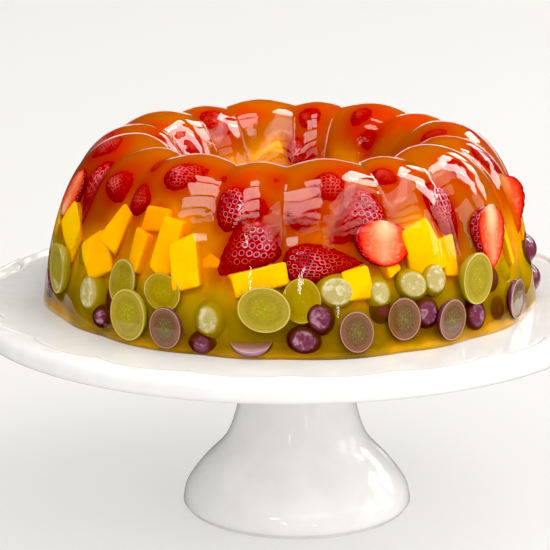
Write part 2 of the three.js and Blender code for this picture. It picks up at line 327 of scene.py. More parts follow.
OUTER_CURVE = np.array([
    (JELLY_RADIUS, 0), (JELLY_RADIUS - 0.0044, 0.47 * JELLY_HEIGHT),
    (CREST_RADIUS + 0.7 * (JELLY_RADIUS - CREST_RADIUS), JELLY_HEIGHT), (CREST_RADIUS, JELLY_HEIGHT)])
INNER_CURVE = np.array([
    (CREST_RADIUS, JELLY_HEIGHT), (CREST_RADIUS - 0.62 * (CREST_RADIUS - HOLE_RADIUS), JELLY_HEIGHT),
    (HOLE_RADIUS + 0.016, 0.2 * JELLY_HEIGHT), (HOLE_RADIUS, 0)])


def on_curve(curve, t):
    """Point and unit tangent of a cubic curve."""
    a, b, c, d = curve
    point = (1 - t) ** 3 * a + 3 * (1 - t) ** 2 * t * b + 3 * (1 - t) * t * t * c + t ** 3 * d
    along = 3 * (1 - t) ** 2 * (b - a) + 6 * (1 - t) * t * (c - b) + 3 * t * t * (d - c)
    return point, along / np.linalg.norm(along)


def flute_swell(bearing):
    """How far a flute swells: 0 in a crease, 1 on a wide flute, less on a narrow one."""
    along = (bearing - FIRST_WIDE_FLUTE + WIDE_FLUTE / 2) % (360 / FLUTE_PAIRS)
    wide = along < WIDE_FLUTE
    across = 2 * along / WIDE_FLUTE - 1 if wide else 2 * (along - WIDE_FLUTE) / NARROW_FLUTE - 1
    swell = (FLUTE_SHARPNESS * (1 - across ** 2)
             + (1 - FLUTE_SHARPNESS) * (0.5 + 0.5 * math.cos(math.pi * across)))
    return swell * (1 if wide else NARROW_SHARE)


def wall_point(curve, t, bearing, inset=0.0):
    """A point of the fluted wall, or of a like wall deeper inside the jelly."""
    (radius, height), (along_r, along_z) = on_curve(curve, t)
    if curve is INNER_CURVE:
        depth = FLUTE_DEPTH_WALL * height / JELLY_HEIGHT
    else:
        full = min(1, height / FLUTE_FULL_HEIGHT)
        depth = FLUTE_DEPTH_BASE + (FLUTE_DEPTH_WALL - FLUTE_DEPTH_BASE) * full
    press = depth * (1 - flute_swell(bearing)) + inset
    radius -= along_z * press
    height += along_r * press * min(1, height / UPRIGHT_FOOT)
    return np.array(at_bearing(radius, bearing, JELLY_BASE + max(height, 0), JELLY_MIDDLE))


def resting(ring):
    """Where it touches the plate the jelly's own weight closes the hairline under it."""
    return [(x, y, z - SETTLED if z < JELLY_BASE + TOUCHING else z) for x, y, z in ring]


def wall_places(outer_steps, inner_steps):
    """Curve and place from the outer foot of the wall over the crest and down into the hole."""
    outer = [(OUTER_CURVE, i / outer_steps) for i in range(outer_steps)]
    return outer + [(INNER_CURVE, i / inner_steps) for i in range(inner_steps + 1)]


def flute_bearings(steps):
    """Bearings that fall on every crease, with three steps on a wide flute for two on a narrow."""
    start = FIRST_WIDE_FLUTE - WIDE_FLUTE / 2
    wide = [WIDE_FLUTE * i / (3 * steps) for i in range(3 * steps)]
    narrow = [WIDE_FLUTE + NARROW_FLUTE * i / (2 * steps) for i in range(2 * steps)]
    return [start + 360 / FLUTE_PAIRS * k + a for k in range(FLUTE_PAIRS) for a in wide + narrow]


jelly_bearings = flute_bearings(10)
jelly = skin("jelly_ring", [resting(wall_point(curve, t, b) for b in jelly_bearings)
                            for curve, t in wall_places(56, 36)], closed_ring=True)
jelly_wall = BVHTree.FromObject(jelly, bpy.context.evaluated_depsgraph_get())
amber = Finish("amber jelly")
ripple = amber.math("ADD", amber.noise(60.0, 2.0, 0.4), amber.times(amber.noise(260.0, 1.0), 0.15))
crinkle = amber.times(amber.noise(330.0, 2.0), amber.span(amber.noise(38.0, 2.0, 0.6), 0.55, 0.68))
ripple = amber.math("ADD", ripple, crinkle)
wet = amber.surface(
    Base_Color=CLEAR, Roughness=0.015, IOR=1.37, Transmission_Weight=1.0,
    Specular_IOR_Level=0.6, Normal=amber.bump(ripple, 0.0004, 0.5))
shade = amber.node("ShaderNodeBsdfTransparent", {"Color": CLEAR})
is_shadow = amber.node("ShaderNodeLightPath").outputs["Is Shadow Ray"]
passing = amber.node("ShaderNodeMixShader", {0: is_shadow, 1: wet.outputs[0], 2: shade.outputs[0]})
amber.tree.links.new(passing.outputs[0], amber.output.inputs["Surface"])
body_colour = amber.node("ShaderNodeVolumeAbsorption", {"Color": (0.983, 0.8, 0.0, 1.0), "Density": 60.0})
amber.tree.links.new(body_colour.outputs[0], amber.output.inputs["Volume"])
jelly.data.materials.append(amber.material)
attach(jelly, "root")
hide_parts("jelly")

# ---- Strawberries ------------------------------------------------------------------------
# Whole and halved berries, tip pointing along their own -Y. The skin is pitted, with a pip
# in each pit and a paler ring round it, partly the skin's own colour and partly a painted
# highlight of wet skin, brighter in patches; a cut half shows red flesh that pales to the core.
BERRY_LENGTH = 0.031
BERRY_WIDTH = 0.024
PIPS_ON_BERRY = 150
PIT_DEPTH = 0.00055
PIT_WIDTH = 0.001
PIT_REACH = 0.0024
PIT_LEAN = 0.02
PIP_LEAN = 0.15
PIP_SUNK = 0.75 * PIT_DEPTH
WIDEST = 0.66
BERRY_ORIGIN = 0.55
END_TRIM = 0.004
CUT_DOME = 0.0004
CUT_EDGE = 0.012
CUT_MARGIN = 0.001
TIP_SHARE = 0.16
SHOULDER_SHARE = 0.1
BISECTIONS = 30
PROUD = 0.00012
WET_DEPTH = 0.0003
TINT_DEPTH = 0.0045
BERRY_GLOW = (0.36, 0.003, 0.004)
JELLY_STAIN = (0.98, 0.7, 0.06)
scatter = random.Random(11)


def drawn(*ranges):
    """A seeded random number from each range in turn."""
    return [scatter.uniform(low, high) for low, high in ranges]


def cloud_colour(finish):
    """The glow of the cloudy gelatine by height: a bright amber at the plate that is painted light,
    olive among the grapes, orange by the mango and ochre at the crest, with redder drifts where
    berries lie deep and painted shade, darker and browner, at the left."""
    place = finish.node("ShaderNodeSeparateXYZ", {0: finish.coordinates}).outputs
    drifting = finish.math("ADD", place["Z"], finish.uneven(0.022, 30.0, 2.0))
    level = finish.span(drifting, JELLY_BASE, JELLY_BASE + JELLY_HEIGHT)
    # the lowest stops are painted light: a bright amber band at the plate, as if light shone through the thin
    # foot of the jelly
    by_height = finish.ramp(level, [
        (0.0, 0.8, 0.44, 0.006), (0.018, 0.62, 0.33, 0.005), (0.06, 0.29, 0.19, 0.003),
        (0.13, 0.31, 0.23, 0.003), (0.24, 0.44, 0.33, 0.003), (0.34, 0.52, 0.36, 0.003),
        (0.46, 0.54, 0.25, 0.003), (0.58, 0.43, 0.13, 0.002), (0.7, 0.38, 0.095, 0.002),
        (0.85, 0.36, 0.095, 0.002), (1.0, 0.37, 0.105, 0.002)])
    high_up = finish.span(level, 0.5, 0.7, 0.0, 0.7)
    red = finish.times(finish.span(finish.noise(34.0, 1.0), 0.56, 0.68), high_up)
    # painted shade: the jelly darker and browner at its left, the side away from the key light
    painted_left_shade = finish.times(finish.span(place["X"], -0.056, -0.104), finish.span(level, 0.43, 0.57, 0.0, 0.66))
    return finish.layers(by_height, (red, (0.48, 0.025, 0.002)), (painted_left_shade, (0.25, 0.04, 0.002)))


def nearest_skin(point):
    """The nearest spot of the jelly's skin, the way out of it there, how far off it is, and how
    far out that way the point lies, below nought inside the jelly."""
    spot, normal, _, distance = jelly_wall.find_nearest(Vector(point))
    return spot, normal, distance, (Vector(point) - spot).dot(normal)


def sunk_below(points):
    """How far each point lies under the jelly's skin; 0 for points outside."""
    return [distance if out < 0 else 0.0 for _, _, distance, out in map(nearest_skin, points)]


def press_to_wall(points, proud=PROUD):
    """Fruit that lay against the tin is flat there, and shows flush with the jelly's skin."""
    pressed = []
    for point in points:
        spot, normal, distance, out = nearest_skin(point)
        pressed.append(tuple(spot + normal * proud) if out > 0 or distance < proud else tuple(point))
    return pressed


def height_on(curve, up):
    """The place on a curve of the wall, from 0 to 1, that lies this high above the plate."""
    low, high = 0.0, 1.0
    for _ in range(BISECTIONS):
        t = (low + high) / 2
        below = on_curve(curve, t)[0][1] < up
        low, high = (t, high) if below == (curve is OUTER_CURVE) else (low, t)
    return t


def wall_spot(bearing, up, curve):
    """Where a piece sits by the wall: the point and the way out."""
    t = height_on(curve, up)
    step_t, step_b = 0.004, 0.6
    along = wall_point(curve, min(t + step_t, 1), bearing) - wall_point(curve, max(t - step_t, 0), bearing)
    across = wall_point(curve, t, bearing + step_b) - wall_point(curve, t, bearing - step_b)
    outward = Vector(np.cross(across, along)).normalized()
    return Vector(wall_point(curve, t, bearing)), outward


def turned(look, spin):
    """Axes for a piece whose +Z looks along look and whose +Y stays as upright as it can, then
    spun in its own face."""
    across = Vector((0, 0, 1)).cross(look).normalized()
    upright = Matrix((across, look.cross(across), look)).transposed().to_4x4()
    return upright @ Matrix.Rotation(math.radians(spin), 4, "Z")


def settle(bearing, up, deep, spin=0.0, size=1.0, inner=False, front=0.0):
    """The place and turn of a piece whose front lies this deep inside the wall."""
    point, outward = wall_spot(bearing, up, INNER_CURVE if inner else OUTER_CURVE)
    place = Matrix.Translation(point - outward * (deep + front * size))
    return place @ turned(outward, spin) @ Matrix.Scale(size, 4)


def showing_place(bearing, up, deep, face, tilt, spin):
    """For a piece that stands out of the jelly: measured from the wall as if it had no
    flutes, with its cut face looking along the stated bearing and tilt."""
    (radius, height), (along_r, along_z) = on_curve(OUTER_CURVE, height_on(OUTER_CURVE, up))
    outward = Vector(at_bearing(along_z, bearing, -along_r))
    point = Vector(at_bearing(radius, bearing, JELLY_BASE + height, JELLY_MIDDLE)) - outward * deep
    look = Vector(at_bearing(math.cos(math.radians(tilt)), face, math.sin(math.radians(tilt))))
    return Matrix.Translation(point) @ turned(look, spin)


def store(made, key, values, kind="FLOAT"):
    """Keeps a number for each point of a mesh, or the numbers of its vectors."""
    layer = made.data.attributes.new(key, kind, "POINT")
    layer.data.foreach_set("value" if kind == "FLOAT" else "vector", values)


class Batch:
    """Pieces of one kind, gathered into one mesh with their attributes."""

    def __init__(self, name):
        self.name = name
        self.points, self.faces, self.local, self.values = [], [], [], {}

    def add(self, shape, place, proud=PROUD, pale=0.0):
        """Adds one piece, pressed to the wall unless proud is nought."""
        points, faces, local, values = shape
        base = len(self.points)
        placed = [tuple(place @ Vector(p)) for p in points]
        shown = press_to_wall(placed, proud) if proud else placed
        self.points += shown
        self.faces += [tuple(base + i for i in face) for face in faces]
        self.local += [tuple(p) for p in local]
        more = {"tone": [scatter.random()] * len(points), "pale": [pale] * len(points),
                "pressed": [float(a != b) for a, b in zip(placed, shown)]}
        for key, numbers in {**values, **more}.items():
            self.values.setdefault(key, []).extend(numbers)

    def build(self, finish, slot, *nodes):
        made = mesh_object(self.name, self.points, self.faces)
        self.values["sunk"] = sunk_below(self.points)
        for key, numbers in self.values.items():
            store(made, key, numbers)
        store(made, "local", [c for p in self.local for c in p], "FLOAT_VECTOR")
        made.data.materials.append(finish.material)
        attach(made, "root")
        if nodes:
            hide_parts(*nodes)


def in_jelly(finish, colour, glow, share, reach, stain=JELLY_STAIN):
    """A fruit's colour as the cloudy jelly over it stains it, and then swallows it, with depth."""
    def grown(depth):
        return finish.math("SUBTRACT", 1.0, finish.math("EXPONENT", depth))
    sunk = finish.attribute("sunk")
    fade = grown(finish.math("DIVIDE", sunk, -reach))
    steep = finish.math("POWER", finish.math("DIVIDE", sunk, TINT_DEPTH), 1.6)
    tinted = finish.mix(grown(finish.times(steep, -1.0)), colour, stain, "MULTIPLY")
    return finish.mix(fade, tinted, finish.mix(share, cloud_colour(finish), glow))


def wet_where_flush(finish):
    """Fruit is as glossy as the jelly where it shows flush with the skin; the jelly round it
    leaves it no gloss of its own."""
    return finish.span(finish.attribute("sunk"), 0.0, WET_DEPTH, 1.0, 0.0)


def fruit_surface(finish, colour, relief, distance, strength):
    """The same wet, finely rough surface for every fruit."""
    finish.surface(
        Base_Color=colour, Roughness=0.6, Specular_IOR_Level=0.0, Coat_Weight=wet_where_flush(finish),
        Coat_Roughness=0.03, Normal=finish.bump(relief, distance, strength))


def tree_of(points):
    """Points sorted for finding the nearest."""
    tree = KDTree(len(points))
    for index, point in enumerate(points):
        tree.insert(point, index)
    tree.balance()
    return tree


class Berry:
    """The form of a strawberry: how far up it is widest, how full it is towards the tip, and
    where its pips sit, on a spiral spread evenly over the skin."""

    def __init__(self, widest=WIDEST, fullness=0.82, lumps=0.0, seed=0):
        self.widest, self.fullness, self.lumps, self.seed = widest, fullness, lumps, seed
        rows = 400
        area = np.cumsum([self.radius((i + 0.5) / rows) for i in range(rows)])
        area /= area[-1]
        self.pips = []
        for k in range(PIPS_ON_BERRY):
            v = (np.searchsorted(area, (k + 0.5) / PIPS_ON_BERRY) + 0.5) / rows
            self.pips.append(self.spot(v, k * math.pi * (3 - math.sqrt(5))))
        self.near_pip = tree_of(self.pips)

    def radius(self, v):
        """Radius from the tip, v = 0, to the shoulders, v = 1."""
        if v > self.widest:
            return BERRY_WIDTH / 2 * math.sqrt(max(0.0, 1 - ((v - self.widest) / (1 - self.widest)) ** 2))
        return BERRY_WIDTH / 2 * math.sin(math.pi / 2 * (v / self.widest) ** self.fullness)

    def spot(self, v, turn):
        """A point of the skin."""
        r = self.radius(v)
        broad = 0.6 * math.sin(2 * turn + self.seed)
        fine = 0.4 * math.sin(3 * turn + 9 * v + 2 * self.seed)
        r *= 1 + self.lumps * (broad + fine)
        return Vector((r * math.cos(turn), (v - BERRY_ORIGIN) * BERRY_LENGTH, r * math.sin(turn)))

    def shape(self, half=False, around=72, rows=48, cut=14):
        """Points, faces, local places and values. A half keeps the side below z = 0."""
        points, pit = [], []
        spread = math.pi if half else 2 * math.pi
        columns = around // 2 + 1 if half else around
        levels = [END_TRIM + (1 - 2 * END_TRIM) * i / rows for i in range(rows + 1)]
        for v in levels:
            for j in range(columns):
                spot = self.spot(v, math.pi + spread * j / (columns - 1 if half else columns))
                near = self.near_pip.find(spot)[2]
                inward = Vector((spot.x, (v - WIDEST) * PIT_LEAN, spot.z)).normalized()
                points.append(spot - inward * PIT_DEPTH * math.exp(-(near / PIT_WIDTH) ** 2))
                pit.append(min(1.0, near / PIT_REACH))
        rim = [1.0] * len(points)
        cut_face = [0.0] * len(points)
        if half:
            faces = ring_faces(rows + 1, columns, split=True, flip=True)
            rim += self.close_cut(points, faces, levels, columns, cut)
            cut_face += [1.0] * (len(points) - len(cut_face))
        else:
            poles = (len(points), len(points) + 1)
            faces = ring_faces(rows + 1, columns, poles, flip=True)
            points += [Vector((0, (v - BERRY_ORIGIN) * BERRY_LENGTH, 0)) for v in (0.0, 1.0)]
            rim += [1.0, 1.0]
            cut_face += [0.0, 0.0]
        pit += [1.0] * (len(points) - len(pit))
        return points, faces, points, {"pit": pit, "rim": rim, "cut": cut_face}

    def close_cut(self, points, faces, levels, columns, cut):
        """Closes a half with its gently domed cut face and its two ends, on the skin's own edge
        points. Returns how near each new point is to the rim."""
        rim, rows = [], []
        for i, v in enumerate(levels):
            first, last = i * columns, i * columns + columns - 1
            near_end = min(1.0, v / TIP_SHARE, (1 - v) / SHOULDER_SHARE)
            rows.append([first])
            for share in [CUT_EDGE] + [j / cut for j in range(1, cut)] + [1 - CUT_EDGE]:
                across = 2 * share - 1
                rows[-1].append(len(points))
                dome = Vector((0, 0, CUT_DOME * (1 - across ** 2) * near_end))
                points.append(points[first].lerp(points[last], share) + dome)
                rim.append(1 - (1 - abs(across)) * near_end)
            rows[-1].append(last)
        for low, high in zip(rows, rows[1:]):
            for j in range(len(low) - 1):
                faces.append((low[j], low[j + 1], high[j + 1], high[j]))
        for row in (rows[0], rows[-1]):
            loop = list(range(row[0], row[-1] + 1)) + row[-2:0:-1]
            faces.append(tuple(loop if row is rows[0] else loop[::-1]))
        return rim


berry_skin = Finish("strawberry")
berry_local = berry_skin.attribute("local", "Vector")
sunk = berry_skin.attribute("sunk")
rim = berry_skin.attribute("rim")
pit = berry_skin.uneven(0.34, 520.0, 2.0, where=berry_local)
pit = berry_skin.math("ADD", berry_skin.attribute("pit"), pit)
# painted highlight: the ring round each pit is partly the skin's own lighter colour and partly wet skin
# glinting; a bright net and a dimmer one are mixed in patches by noise
net_with_painted_glint = berry_skin.ramp(pit, [
    (0.0, 0.05, 0.003, 0.006), (0.24, 0.12, 0.001, 0.006), (0.35, 0.26, 0.003, 0.014),
    (0.44, 0.66, 0.13, 0.17), (0.52, 0.78, 0.21, 0.25), (0.6, 0.52, 0.05, 0.08),
    (0.7, 0.36, 0.003, 0.009), (1.0, 0.34, 0.002, 0.007)])
plain = berry_skin.ramp(pit, [
    (0.0, 0.05, 0.002, 0.003), (0.25, 0.14, 0.001, 0.003), (0.5, 0.5, 0.035, 0.05),
    (0.68, 0.32, 0.002, 0.006), (1.0, 0.3, 0.001, 0.004)])
skin_red = berry_skin.mix(berry_skin.span(berry_skin.noise(130.0, 2.0), 0.34, 0.54), plain, net_with_painted_glint)
skin_red = berry_skin.mix(berry_skin.span(sunk, 0.0006, 0.0036, 0.0, 0.85), skin_red, (0.28, 0.004, 0.01))
fibre = berry_skin.noise(420.0, 3.0, 0.6, where=berry_local, distortion=0.4)
wavy_rim = berry_skin.math("ADD", rim, berry_skin.times(berry_skin.math("SUBTRACT", fibre, 0.5), 0.35))
flesh = berry_skin.ramp(wavy_rim, [
    (0.0, 0.92, 0.3, 0.16), (0.3, 0.9, 0.2, 0.08), (0.6, 0.85, 0.09, 0.03),
    (0.85, 0.7, 0.03, 0.015), (0.97, 0.42, 0.004, 0.01)])
streaks = berry_skin.times(berry_skin.span(fibre, 0.5, 0.64, 0.0, 0.45), berry_skin.span(rim, 0.9, 0.6))
heart = berry_skin.vector("SUBTRACT", berry_local, (0, 0.0085, 0))
heart = berry_skin.vector("MULTIPLY", heart, (1.5, 0.9, 1))
heart = berry_skin.node("ShaderNodeVectorMath", {0: heart}, operation="LENGTH").outputs["Value"]
heart = berry_skin.math("ADD", heart, berry_skin.times(fibre, 0.003))
pale = berry_skin.times(berry_skin.span(heart, 0.0105, 0.0035), berry_skin.attribute("pale"))
flesh = berry_skin.layers(flesh, (streaks, (0.96, 0.4, 0.25)), (pale, (0.96, 0.54, 0.29)))
berry_red = berry_skin.mix(berry_skin.attribute("cut"), skin_red, flesh)
fruit_surface(berry_skin, in_jelly(berry_skin, berry_red, BERRY_GLOW, 0.85, 0.012), fibre, 0.0003, 0.4)

pip_coat = Finish("strawberry pip")
pip_brown = pip_coat.ramp(pip_coat.noise(900.0, 1.0), [
    (0.35, 0.08, 0.012, 0.008), (0.7, 0.3, 0.11, 0.04)])
pip_brown = pip_coat.mix(pip_coat.span(pip_coat.attribute("sunk"), 0.0002, 0.0018, 0.0, 0.9),
                         pip_brown, (0.3, 0.005, 0.008))
pip_coat.surface(
    Base_Color=in_jelly(pip_coat, pip_brown, BERRY_GLOW, 0.85, 0.003),
    Roughness=0.5, Specular_IOR_Level=0.0, Coat_Weight=wet_where_flush(pip_coat), Coat_Roughness=0.1)


def pip_points(name, places):
    """A mesh of bare points, one for each pip, with the way each looks as an attribute."""
    points, outward = [], []
    for berry, place, half, press in places:
        turn = place.to_3x3().normalized()
        for pip in berry.pips:
            if half and pip.z > -CUT_MARGIN:
                continue
            away = Vector((pip.x, PIP_LEAN * pip.y, pip.z)).normalized()
            spot = place @ (pip - away * PIP_SUNK)
            points += press_to_wall([spot], 0.0) if press else [spot]
            outward.append(turn @ away)
    made = mesh_object(name, points, [])
    store(made, "outward", [c for v in outward for c in v], "FLOAT_VECTOR")
    return made


def pip_tree_group():
    """Geometry Nodes: a small pointed pip set on every point, flat side down."""
    group = bpy.data.node_groups.new("Pips on berries", "GeometryNodeTree")
    for name, way, kind, value in (
            ("Geometry", "INPUT", "Geometry", None), ("Pip length", "INPUT", "Float", 0.0013),
            ("Pip width", "INPUT", "Float", 0.0008), ("Pip height", "INPUT", "Float", 0.0006),
            ("Seed", "INPUT", "Int", 5), ("Pip coat", "INPUT", "Material", None),
            ("Geometry", "OUTPUT", "Geometry", None)):
        socket = group.interface.new_socket(name, in_out=way, socket_type="NodeSocket" + kind)
        if value:
            socket.default_value = value
    nodes = Nodes(group)
    given = nodes.node("NodeGroupInput").outputs
    ball = nodes.node("GeometryNodeMeshUVSphere", {"Segments": 6, "Rings": 4, "Radius": 0.5})
    size = nodes.node("ShaderNodeCombineXYZ", {
        0: given["Pip width"], 1: given["Pip length"], 2: given["Pip height"]})
    pip = nodes.node("GeometryNodeTransform", {"Geometry": ball.outputs["Mesh"], "Scale": size.outputs[0]})
    way = nodes.node("GeometryNodeInputNamedAttribute", {"Name": "outward"}, data_type="FLOAT_VECTOR")
    lean = nodes.node("FunctionNodeAlignRotationToVector", {"Vector": way.outputs["Attribute"]}, axis="Z")
    vary = nodes.node("FunctionNodeRandomValue", {2: 0.75, 3: 1.15, "Seed": given["Seed"]}, data_type="FLOAT")
    put = nodes.node("GeometryNodeInstanceOnPoints", {
        "Points": given["Geometry"], "Instance": pip.outputs[0],
        "Rotation": lean.outputs[0], "Scale": vary.outputs[1]})
    real = nodes.node("GeometryNodeRealizeInstances", {0: put.outputs[0]})
    coat = nodes.node("GeometryNodeSetMaterial", {"Geometry": real.outputs[0], "Material": given["Pip coat"]})
    nodes.node("NodeGroupOutput", {0: coat.outputs[0]})
    return group


PIP_GROUP = pip_tree_group()


def sow_pips(name, places):
    """The pips of a batch of berries, as one plain mesh."""
    made = pip_points(name, places)
    modifier = made.modifiers.new("pips", "NODES")
    modifier.node_group = PIP_GROUP
    inputs = {i.name: i.identifier for i in PIP_GROUP.interface.items_tree if i.in_out == "INPUT"}
    modifier[inputs["Pip coat"]] = pip_coat.material
    evaluated = made.evaluated_get(bpy.context.evaluated_depsgraph_get())
    plain_mesh = bpy.data.meshes.new_from_object(evaluated)
    made.modifiers.clear()
    made.data = plain_mesh
    plain_mesh.polygons.foreach_set("use_smooth", [True] * len(plain_mesh.polygons))
    store(made, "sunk", sunk_below([v.co for v in plain_mesh.vertices]))
    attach(made, "root")


# bearing, up, deep, spin, width, length, in degrees and millimetres: whole berries by the wall
OUTER_BERRIES = in_metres([
    (-76, 80, 1, 90, 18, 22), (-66, 62, 0.8, 4, 22, 42), (-54, 73, 1, 150, 21, 25),
    (-45, 69, 1.6, -150, 17, 24), (-31, 80.5, 1, 105, 20, 30), (-13, 69, -0.4, 95, 26, 31),
    (-11, 50, -1, -44, 25, 37), (4, 66, 2.4, 85, 20, 28), (6, 44, -1.2, 92, 19, 37),
    (17, 63, -1, -56, 25, 37), (8, 77, 2, -75, 21, 28), (43, 61, -0.8, 16, 23, 37),
    (79, 72, 0.5, 0, 21, 28), (29, 80, 2, 60, 14, 18), (-20, 81.5, 3.5, 85, 10, 20),
    (-3, 82, 4, 80, 12, 16), (13, 82, 4, 95, 10, 20), (-46, 81, 3.5, 70, 12, 22),
    (-36, 60, 5, 30, 14, 18), (56, 74, 3, 20, 18, 26),
], 1, 2, 4, 5)
# the same, by the wall of the hole
INNER_BERRIES = in_metres([
    (-97, 71, 0.5, 60, 23, 30), (172, 78, 3, 20, 19, 25), (148, 80, 3, 0, 17, 22),
    (176, 62, 1, 90, 22, 28), (92, 82, 3, 40, 19, 25), (136, 70, 3, 30, 19, 25),
    (-145, 78, 2, 10, 20, 26), (-120, 70, 2, 90, 20, 26),
], 1, 2, 4, 5)
# halves with the cut face to the wall
CUT_BERRIES = in_metres([(-75, 57, 0.8, 172, 19, 26), (22.5, 52, 0, -14, 30, 22)], 1, 2, 4, 5)


def berry_place(bearing, up, deep, spin, width, length, inner=False, half=False):
    """A berry of its own width and length, settled by the wall."""
    place = settle(bearing, up, deep, spin, inner=inner, front=0.0 if half else width / 2)
    stretch = width / BERRY_WIDTH, length / BERRY_LENGTH, width / BERRY_WIDTH
    return place @ Matrix.Diagonal((*stretch, 1.0))


# a berry nearer to the skin than this is seen crisply, and gets a finer mesh
CRISP_DEPTH = 0.0006
CRISP_MESH = (116, 80)
SOFT_MESH = (60, 40)
plump_berry = Berry()
blunt_berry = Berry(0.6, 0.62)
front_berries, front_places = Batch("strawberries_outer"), []
for index, spot in enumerate(OUTER_BERRIES):
    berry = Berry(0.72, scatter.uniform(0.92, 1.05), 0.07, index)
    place = berry_place(*spot)
    front_berries.add(berry.shape(False, *(CRISP_MESH if spot[2] < CRISP_DEPTH else SOFT_MESH)), place)
    front_places.append((berry, place, False, True))
for spot in CUT_BERRIES:
    place = berry_place(*spot, half=True)
    front_berries.add(blunt_berry.shape(True), place, pale=0.8)
    front_places.append((blunt_berry, place, True, True))
front_berries.build(berry_skin, "strawberry")
sow_pips("strawberry_pips_outer", front_places)

inner_berries = Batch("strawberries_by_hole")
inner_places = [berry_place(*spot, inner=True) for spot in INNER_BERRIES]
# the back of the ring is filled as the front is, berry by berry, in two rows set half a step apart
for step in range(10):
    for up, along in ((0.049, 0), (0.071, 9)):
        bearing = 92 + 18 * step + scatter.uniform(-4, 4) + along
        higher, *rest = drawn((-0.003, 0.003), (-0.0006, 0.002), (0, 360), (0.02, 0.025), (0.027, 0.036))
        inner_places.append(berry_place(bearing, up + higher, *rest))
plain_shape = plump_berry.shape(around=44, rows=30)
for place in inner_places:
    inner_berries.add(plain_shape, place)
inner_berries.build(berry_skin, "strawberry")
sow_pips("strawberry_pips_back", [(plump_berry, place, False, True) for place in inner_places])

# name, bearing, up, deep, face, tilt, spin: halves that stand out of the wall
SHOWING_BERRIES = in_metres([
    ("strawberry_half_right", 77, 54, 7, 8, 8, 14),
    ("strawberry_half_flush", 54, 46, -1.4, 54, 10, -8),
    ("strawberry_half_back", 158, 50, -1.4, 158, 8, 20),
    ("strawberry_half_left_back", -122, 48, -1.4, -122, 8, -15),
], 2, 3)
showing_places = []
for name, *where in SHOWING_BERRIES:
    piece = Batch("cut_" + name)
    piece.add(plump_berry.shape(True), showing_place(*where), proud=0, pale=1.0)
    piece.build(berry_skin, "strawberry", name)
    showing_places.append((plump_berry, showing_place(*where), True, False))
sow_pips("strawberry_pips_showing", showing_places)

# ---- Mango -------------------------------------------------------------------------------
# Ripe mango cut into rough dice with a knife: flat faces that meet at odd angles, with the
# sharp edges just softened by the syrup.
DICE_GRID = (-1.0, -0.95, -0.86, -0.66, -0.44, -0.22, 0.0, 0.22, 0.44, 0.66, 0.86, 0.95, 1.0)
DICE_ODDNESS = 0.36
DICE_SOFT = 0.22
DICE_LEAN = 0.16
DICE_PROUD = 0.00016


def dice_shape(width, height, depth, seed):
    """A rough box with each corner cut a little out of true."""
    rough = random.Random(seed)
    off = np.array([[rough.uniform(-DICE_ODDNESS, DICE_ODDNESS) for _ in range(3)] for _ in range(8)])
    half = np.array([width, height, depth]) / 2
    points, faces, seen = [], [], {}

    def corner(p):
        key = tuple(round(c * 1000) for c in p)
        if key not in seen:
            inner = np.clip(p, DICE_SOFT - 1, 1 - DICE_SOFT)
            away = p - inner
            q = inner + away / max(np.linalg.norm(away), 1e-9) * DICE_SOFT
            weight = [(1 + sx * q[0]) * (1 + sy * q[1]) * (1 + sz * q[2]) / 8
                      for sx in (-1, 1) for sy in (-1, 1) for sz in (-1, 1)]
            seen[key] = len(points)
            points.append(Vector((q + np.dot(weight, off)) * half))
        return seen[key]

    for axis in range(3):
        u, v = (axis + 1) % 3, (axis + 2) % 3
        for side in (-1, 1):
            for i in range(len(DICE_GRID) - 1):
                for j in range(len(DICE_GRID) - 1):
                    quad = []
                    for di, dj in ((0, 0), (1, 0), (1, 1), (0, 1)):
                        p = np.zeros(3)
                        p[[axis, u, v]] = side, DICE_GRID[i + di], DICE_GRID[j + dj]
                        quad.append(corner(p))
                    faces.append(tuple(quad if side > 0 else quad[::-1]))
    return points, faces, points, {}


mango_flesh = Finish("mango flesh")
fibre = mango_flesh.noise(500.0, 3.0, 0.6, distortion=0.5)
ripe = mango_flesh.mix(mango_flesh.span(mango_flesh.noise(90.0, 2.0), 0.3, 0.7),
                       (1.0, 0.5, 0.004), (1.0, 0.6, 0.009))
riper = mango_flesh.times(mango_flesh.attribute("tone"), 0.18)
ripe = mango_flesh.mix(riper, ripe, (1.0, 0.4, 0.002))
ripe = in_jelly(mango_flesh, ripe, (0.94, 0.46, 0.003), 0.72, 0.01, (0.98, 0.72, 0.03))
fruit_surface(mango_flesh, ripe, fibre, 0.0003, 0.5)

# bearing, up, deep, spin, width, height, depth, in degrees and millimetres
MANGO_DICE = in_metres([
    (-67, 40.5, 0.4, 52, 15, 25, 14), (-53, 36, 1, 35, 15, 18, 14), (-48, 50, 0.8, -24, 12, 25, 14),
    (-39, 42, 2, -8, 10, 18, 12), (-36, 60, 4.5, 0, 13, 11, 12), (-31, 47, 1.2, -12, 13, 24, 14),
    (-25.5, 42.5, 0.4, 12, 13, 21, 14), (-20, 51, 6.8, 0, 15, 23, 13), (-8, 36.5, 0.6, 104, 13, 24, 14),
    (-2, 37.5, 4.5, 85, 10, 19, 12), (15, 34.5, 0.8, 12, 12, 17, 13), (24, 42, 1.5, 12, 9, 13, 11),
    (33, 48, 1.3, 14, 17, 20, 15), (40, 41, 1.5, -5, 10, 16, 12), (62, 42, 0.2, 8, 6, 26, 13),
    (70, 36, 5, -20, 14, 20, 12), (52, 40, 8, 30, 16, 18, 12), (5, 45, 8, 20, 18, 16, 12),
], 1, 2, 4, 5, 6)
for step in range(24):
    MANGO_DICE.append((84 + 8.5 * step, *drawn(
        (0.034, 0.05), (0.0, 0.004), (-40, 40), (0.012, 0.017), (0.017, 0.025), (0.012, 0.015))))
